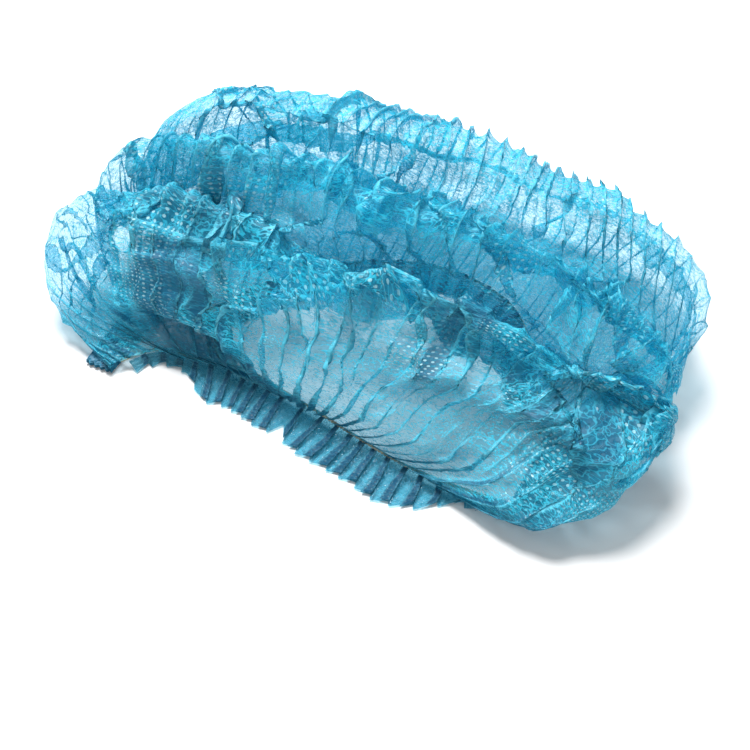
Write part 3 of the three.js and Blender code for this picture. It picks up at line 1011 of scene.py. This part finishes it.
crown_cloth = nonwoven(
    "Spunbond crown",
    tint=(0.74, 0.87, 0.92),
    fibre_colour=(0.005, 0.60, 0.83),
    deeper_and_shaded=(0.001, 0.11, 0.21),
    density=0.05,
    roughness=0.38,
    seed=1.0,
)
# The frill is the same cloth as the crown; its darker tint, darker fibre colour and denser cover are
# painted shade
frill_cloth = nonwoven(
    "Spunbond frill",
    tint=(0.33, 0.69, 0.80),
    fibre_colour=(0.003, 0.25, 0.40),
    deeper_and_shaded=(0.001, 0.08, 0.16),
    density=0.14,
    roughness=0.45,
    seed=2.0,
)

# %% [markdown]
# ## Yarn and welded plies
# The yarn is matt, cream in patches and dark between them: the dark is a painted shade of the
# blue cloth around it, with the blue stain it leaves. The weld is the same blue cloth, but many
# plies melted together let no light through, so it is solid, deeper and a little glossier.

# %% Paint the yarn and the welds
def solid_finish(name, deep, pale, scale, roughness, bump_depth, specular):
    material = bpy.data.materials.new(name)
    material.use_nodes = True
    tree = material.node_tree
    tree.nodes.clear()
    wire = Wire(tree)
    place = wire.node("ShaderNodeTexCoord", {}, {}, 3)
    coarse = wire.node(
        "ShaderNodeTexNoise", {}, {"Vector": place, "Scale": scale, "Detail": 4.0, "Distortion": 0.4}
    )
    fine = wire.node("ShaderNodeTexNoise", {}, {"Vector": place, "Scale": scale * 5, "Detail": 3.0})
    blend = (1.8 * coarse + 0.6 * fine - 0.8).clamped()
    shade = wire.node(
        "ShaderNodeMix", {"data_type": "RGBA"}, {"Factor": blend, "A": (*deep, 1), "B": (*pale, 1)}, 2
    )
    bump = wire.node(
        "ShaderNodeBump", {}, {"Strength": 0.6, "Distance": bump_depth, "Height": coarse + 0.6 * fine}
    )
    body = wire.node(
        "ShaderNodeBsdfPrincipled",
        {},
        {
            "Base Color": shade,
            "Roughness": (roughness + 0.3 * (fine - 0.5)).clamped(),
            "Normal": bump,
            "Specular IOR Level": specular,
        },
    )
    out = tree.nodes.new("ShaderNodeOutputMaterial")
    tree.links.new(body.socket, out.inputs["Surface"])
    return material


# The yarn's dark tone is a painted shade of the blue cloth around it; the cream is its own colour
cream_yarn = solid_finish(
    "Cream elastic yarn",
    deep=(0.02, 0.07, 0.07),
    pale=(0.62, 0.63, 0.5),
    scale=420,
    roughness=0.8,
    bump_depth=0.0002,
    specular=0.3,
)
welded_plies = solid_finish(
    "Welded plies",
    deep=(0.004, 0.10, 0.19),
    pale=(0.03, 0.30, 0.46),
    scale=450,
    roughness=0.5,
    bump_depth=0.0003,
    specular=0.5,
)
print("solid finishes:", cream_yarn.name, "and", welded_plies.name)

# %% Give each piece its finish and its body, and hide the solid it stands for
dressed = [
    (crown, crown_cloth, "crown", "crown_cloth"),
    (front_frill, frill_cloth, "frill_front", "frill_cloth"),
    (back_frill, frill_cloth, "frill_back", "frill_cloth"),
    (front_yarn, cream_yarn, "elastic_front", "elastic_thread"),
    (back_yarn, cream_yarn, "elastic_back", "elastic_thread"),
    (left_tab, welded_plies, "end_weld_left", "welded_cloth"),
    (right_tab, welded_plies, "end_weld_right", "welded_cloth"),
]
for piece, finish, node, slot in dressed:
    piece.data.materials.clear()
    piece.data.materials.append(finish)
    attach(piece, "root")
    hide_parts(node)
for frill, share, mean_width in ((front_frill, 0.9, front_mean), (back_frill, 0.78, back_mean)):
    cut = (flat_length * share, frill_width)
    area = cut[0] * cut[1] * mean_width
print(len(dressed), "pieces dressed")

# %% [markdown]
# ## Table, light and camera
# The cap lies on a plain white table in soft studio light. A large lamp over the back left
# draws the creases, a second fills from the right, and a white surround keeps the cloth
# bright from behind. The camera looks down at it from the front right.

# %% Set the table and the lights
bpy.ops.object.select_all(action="DESELECT")
bpy.ops.mesh.primitive_plane_add(size=8, location=(0, 0, -0.0004))
table = bpy.context.object
table.name = "table_top"
paper = bpy.data.materials.new("White table")
paper.use_nodes = True
paper_shader = paper.node_tree.nodes["Principled BSDF"]
paper_shader.inputs["Base Color"].default_value = (0.9, 0.9, 0.9, 1)
paper_shader.inputs["Roughness"].default_value = 0.9
table.data.materials.append(paper)


def soft_lamp(name, place, size, power, target=(0, 0, 0.03)):
    light = bpy.data.lights.new(name, "AREA")
    light.shape = "DISK"
    light.size = size
    light.energy = power
    lamp = bpy.data.objects.new(name, light)
    bpy.context.scene.collection.objects.link(lamp)
    lamp.location = place
    lamp.rotation_euler = (Vector(target) - Vector(place)).to_track_quat("-Z", "Y").to_euler()
    return lamp


soft_lamp("Key light", (-0.4, 0.4, 1.2), 0.65, 28)
soft_lamp("Fill light", (0.9, -0.8, 0.9), 0.9, 2.5)
world = bpy.data.worlds.new("White surround")
bpy.context.scene.world = world
world.use_nodes = True
world.node_tree.nodes["Background"].inputs["Color"].default_value = (1, 1, 1, 1)
world.node_tree.nodes["Background"].inputs["Strength"].default_value = 0.38
scene = bpy.context.scene
scene.view_settings.view_transform = "Standard"
scene.cycles.transparent_max_bounces = 16
scene.cycles.max_bounces = 4
scene.cycles.diffuse_bounces = 2

# %% Place the camera
camera_turn, camera_height = math.radians(27), math.radians(50)
camera_distance = 0.64
aim = Vector((9.7, -34.2, 6)) * MM
back_from_aim = Vector(
    (
        math.sin(camera_turn) * math.cos(camera_height),
        -math.cos(camera_turn) * math.cos(camera_height),
        math.sin(camera_height),
    )
)
lens = bpy.data.cameras.new("Camera")
lens.sensor_width = 36
lens.lens = 79.8
camera = bpy.data.objects.new("Camera", lens)
scene.collection.objects.link(camera)
camera.location = aim + back_from_aim * camera_distance
camera.rotation_euler = (-back_from_aim).to_track_quat("-Z", "Y").to_euler()
scene.camera = camera
print("camera at", tuple(round(x, 3) for x in camera.location))

# %% Update the scene and finish
bpy.context.view_layer.update()
